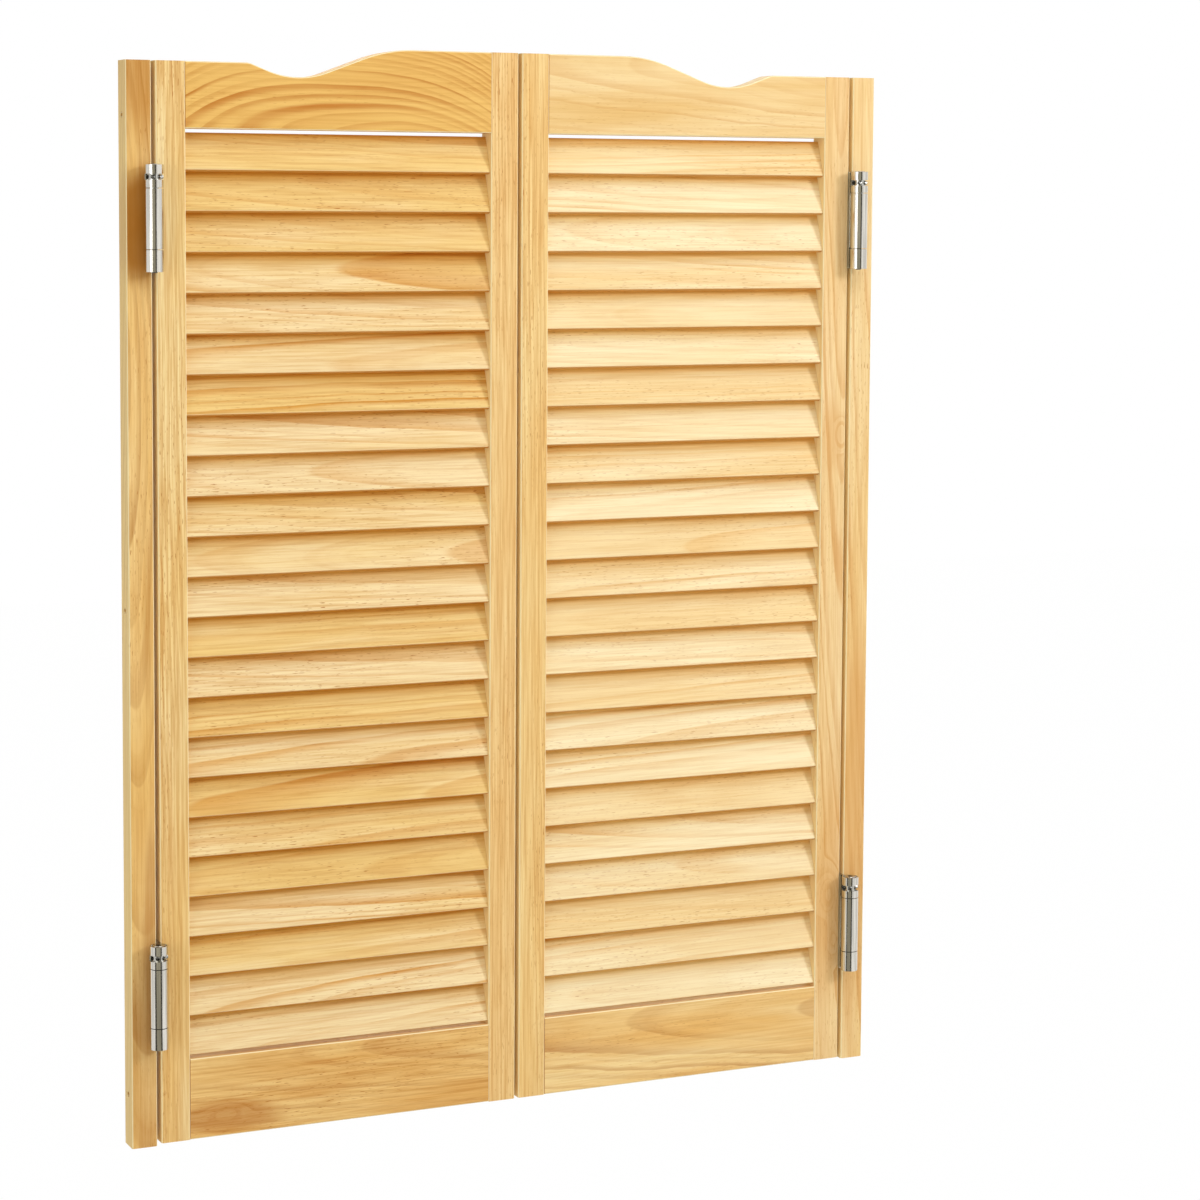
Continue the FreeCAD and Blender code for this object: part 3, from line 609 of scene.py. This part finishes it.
def metal(name, tone, rough, axis="Z"):
    """Satin plated steel, finely brushed along one axis."""
    material, graph, shader = surface(name)
    place = graph.coordinate("Object")
    brushed = graph.noise(place, Noise(streaks(BRUSHED, axis), 2.0, 0.6))
    clouds = graph.noise(place, Noise(streaks(CLOUDED, axis), 2.0, 0.5))
    specks = graph.spread(graph.noise(place, SPECKLED), *SPECK_STEP)
    dull = [DULL_SHARE * value for value in tone]
    colour = graph.mix(graph.spread(clouds, *DULL_STEP), linear(tone), linear(dull))
    colour = graph.mix(graph.times(specks, SPECK_STRENGTH), colour, linear(SPECK))
    graph.feed(shader.inputs["Base Color"], colour)
    shader.inputs["Metallic"].default_value = 1.0
    roughness = graph.spread(brushed, *FULL_NOISE, rough + POLISH[0], rough + POLISH[1])
    graph.feed(shader.inputs["Roughness"], roughness)
    roughen(graph, shader, brushed, *METAL_BUMP)
    return material


def dress_metal():
    """Nickel on the hinge plates, and a plating for each kind of small steel part."""
    nickel = metal("satin_nickel", (226, 222, 212), 0.14)
    plate = metal("plated_screw", (186, 186, 184), 0.34)
    collar = metal("adjuster_steel", (200, 198, 190), 0.20)
    rod = metal("drawn_steel", (96, 94, 90), 0.30)
    wire = metal("spring_wire", (70, 70, 70), 0.35)
    pin = metal("pin_steel", (200, 199, 195), 0.25, "X")
    for side in SIDES:
        for level in LEVELS:
            hinge = f"{side}_{level}"
            for part in ("jamb_leaf", "web", "door_leaf"):
                dress(f"{hinge}_{part}", nickel)
            for leaf in LEAVES:
                dress(f"{hinge}_{leaf}_adjuster", collar)
                dress(f"{hinge}_{leaf}_spindle", rod)
            dress(f"{hinge}_springs", wire)
        for leaf in LEAVES:
            dress(f"{side}_{leaf}_screws", plate)
            dress(f"{side}_{leaf}_tension_pins", pin)


# ------------------------------------------------------------------ stage and light
FLOOR_Z = -0.42
FLOOR_SIZE = 14.0
FLOOR_TONE = (0.86, 0.86, 0.86, 1.0)
FLOOR_WHITE = 0.995                     # share of plain white in what the camera sees
WORLD_LEVEL = 0.44
WORLD_TONE = (1.0, 0.915, 0.54, 1.0)
ROOM_AT = math.radians(-29.0)           # azimuth of the dim room behind the viewer
ROOM_TONE = (168, 163, 146)
ROOM_EDGE = (38, 34, 28)
ROOM_STOPS = (0.130, 0.145, 0.220, 0.235)       # shares of the half turn from ROOM_AT
LAMPS_LOOK_AT = Vector((0.0, 0.0, 0.55))
LAMPS = {                               # place, size in metres, watts
    "key": ((2.3, -2.7, 2.1), (0.8, 0.8), 50.0),
    "fill": ((-3.2, -1.9, 1.0), (1.6, 1.8), 26.0),
    "top": ((0.2, -1.6, 3.2), (2.2, 1.6), 31.0),
    "back": ((0.3, 2.6, 2.4), (1.8, 1.2), 18.0),
}


def room_bands(graph, x, y):
    """What metal mirrors in a direction over the floor: a dim room, its dark edge, white."""
    turn = graph.math("ARCTAN2", x, graph.times(y, -1.0))
    off = graph.math("ABSOLUTE", graph.math("SUBTRACT", turn, ROOM_AT))
    dim, dark = linear(ROOM_TONE), linear(ROOM_EDGE)
    tones = (dim, dim, dark, dark, WHITE, WHITE)
    return graph.ramp(graph.math("DIVIDE", off, math.pi),
                      list(zip((0.0, *ROOM_STOPS, 1.0), tones)))


def shown_by_ray(graph, kind, lit, gloss, white_share):
    """Plain white to camera and transmission, the bands to gloss, and lit to the rest."""
    rays = graph.node("ShaderNodeLightPath").outputs
    seen = graph.math("MAXIMUM", rays["Is Camera Ray"], rays["Is Transmission Ray"])
    seen = graph.math("MAXIMUM", seen, rays["Is Glossy Ray"])
    tone = graph.mix(rays["Is Glossy Ray"], WHITE, gloss)
    plain = graph.node(kind, {"Color": tone, "Strength": 1.0})
    inputs = {0: graph.times(seen, white_share), 1: lit.outputs[0], 2: plain.outputs[0]}
    return graph.node("ShaderNodeMixShader", inputs).outputs[0]


def make_floor():
    half = FLOOR_SIZE / 2
    mesh = bpy.data.meshes.new("floor")
    corners = [(-half, -half, 0), (half, -half, 0), (half, half, 0), (-half, half, 0)]
    mesh.from_pydata(corners, [], [(0, 1, 2, 3)])
    floor = bpy.data.objects.new("floor", mesh)
    floor.location = (0, 0, FLOOR_Z)
    bpy.context.scene.collection.objects.link(floor)
    material = bpy.data.materials.new("pale_floor")
    material.use_nodes = True
    graph = Graph(material.node_tree)
    x, y, _ = graph.split(graph.coordinate("Object"))
    lit = graph.node("ShaderNodeBsdfDiffuse", {"Color": FLOOR_TONE})
    bands = room_bands(graph, x, y)
    shown = shown_by_ray(graph, "ShaderNodeEmission", lit, bands, FLOOR_WHITE)
    graph.node("ShaderNodeOutputMaterial", {"Surface": shown})
    mesh.materials.append(material)


def make_world():
    """Even pale surroundings, seen as plain white."""
    world = bpy.data.worlds.new("studio")
    bpy.context.scene.world = world
    world.use_nodes = True
    graph = Graph(world.node_tree)
    x, y, _ = graph.split(graph.coordinate("Generated"))
    even = graph.node("ShaderNodeBackground", {"Color": WORLD_TONE, "Strength": WORLD_LEVEL})
    shown = shown_by_ray(graph, "ShaderNodeBackground", even, room_bands(graph, x, y), 1.0)
    graph.node("ShaderNodeOutputWorld", {"Surface": shown})


def make_lamps():
    """Soft rectangular lamps that look at the middle of the doors."""
    for name, (at, size, watts) in LAMPS.items():
        data = bpy.data.lights.new(name, "AREA")
        data.shape = "RECTANGLE"
        data.size, data.size_y = size
        data.energy = watts
        lamp = bpy.data.objects.new(name, data)
        turn = (LAMPS_LOOK_AT - Vector(at)).to_track_quat("-Z", "Y")
        lamp.matrix_world = Matrix.Translation(at) @ turn.to_matrix().to_4x4()
        bpy.context.scene.collection.objects.link(lamp)


make_camera()
make_floor()
make_world()
make_lamps()
dress_timber()
dress_dowels()
dress_metal()
bpy.context.scene.view_settings.view_transform = "Standard"
